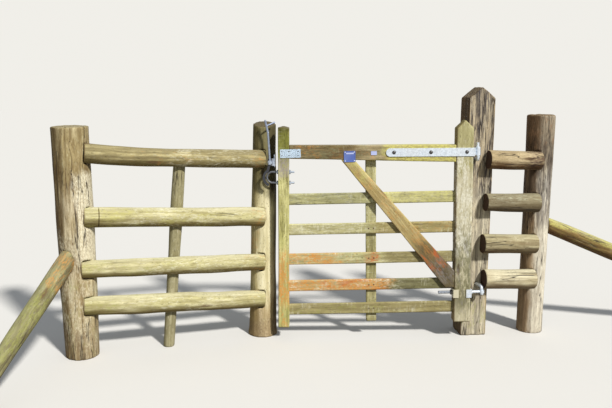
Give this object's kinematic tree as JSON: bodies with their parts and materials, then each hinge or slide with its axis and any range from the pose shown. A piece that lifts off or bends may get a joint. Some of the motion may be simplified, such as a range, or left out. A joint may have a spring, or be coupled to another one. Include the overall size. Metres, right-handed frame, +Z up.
{
  "type": "timber hand gate with post-and-rail wings",
  "caption": "Self-closing timber gate leaf with a diagonal brace, hung on hook hinges from a gabled post and shut by a lever latch, between post-and-rail wings with struts.",
  "frame": {"origin": "centre of the hinge post's foot, at the lowest ground level", "axes": "+X to the right along the closed leaf as the picture shows it, +Y away from the viewer, +Z up; the leaf opens towards -Y"},
  "size_m": [5.1101, 1.5267, 1.577],
  "materials": {
    "hinge_post_wood": "weathered, rough",
    "post_wood": "weathered, rough",
    "wing_rail_wood": "weathered, rough",
    "leaf_wood": "weathered, rough",
    "brace_wood": "weathered, rough",
    "galvanised_steel": "dull galvanised",
    "dark_steel": "greasy dark steel"
  },
  "bodies": {
    "wings_and_posts": {"hinge_post": "hinge_post_wood", "latch_post": "post_wood", "left_post": "post_wood", "right_post": "post_wood", "prick_post": "post_wood", "left_rail_1": "wing_rail_wood", "left_rail_2": "wing_rail_wood", "left_rail_3": "wing_rail_wood", "left_rail_4": "wing_rail_wood", "right_rail_1": "wing_rail_wood", "right_rail_2": "wing_rail_wood", "right_rail_3": "wing_rail_wood", "right_rail_4": "wing_rail_wood", "left_strut": "post_wood", "right_strut": "post_wood", "top_hook": "galvanised_steel", "bottom_hook": "galvanised_steel", "latch_bracket": "dark_steel"},
    "leaf": {"hanging_stile": "leaf_wood", "closing_stile": "leaf_wood", "top_rail": "leaf_wood", "leaf_rail_2": "leaf_wood", "leaf_rail_3": "leaf_wood", "leaf_rail_4": "leaf_wood", "leaf_rail_5": "leaf_wood", "leaf_rail_6": "leaf_wood", "middle_upright": "leaf_wood", "brace": "brace_wood", "top_hinge_band": "galvanised_steel", "bottom_eye_bolt": "galvanised_steel", "edge_caps": "galvanised_steel", "latch_loop": "galvanised_steel", "mending_plate": "galvanised_steel"},
    "lever": {"latch_lever": "dark_steel"}
  },
  "joints": [
    {"name": "leaf_swing", "type": "hinge", "parent": "wings_and_posts", "child": "leaf", "pos_m": [-0.023, -0.137, 1.191], "axis": [-0.069, 0, 0.9976], "range_deg": [0, 100]},
    {"name": "lever_turn", "type": "hinge", "parent": "wings_and_posts", "child": "lever", "pos_m": [-1.283, -0.156, 1.125], "axis": [0, 1, 0], "range_deg": [-20, 0]}
  ]
}
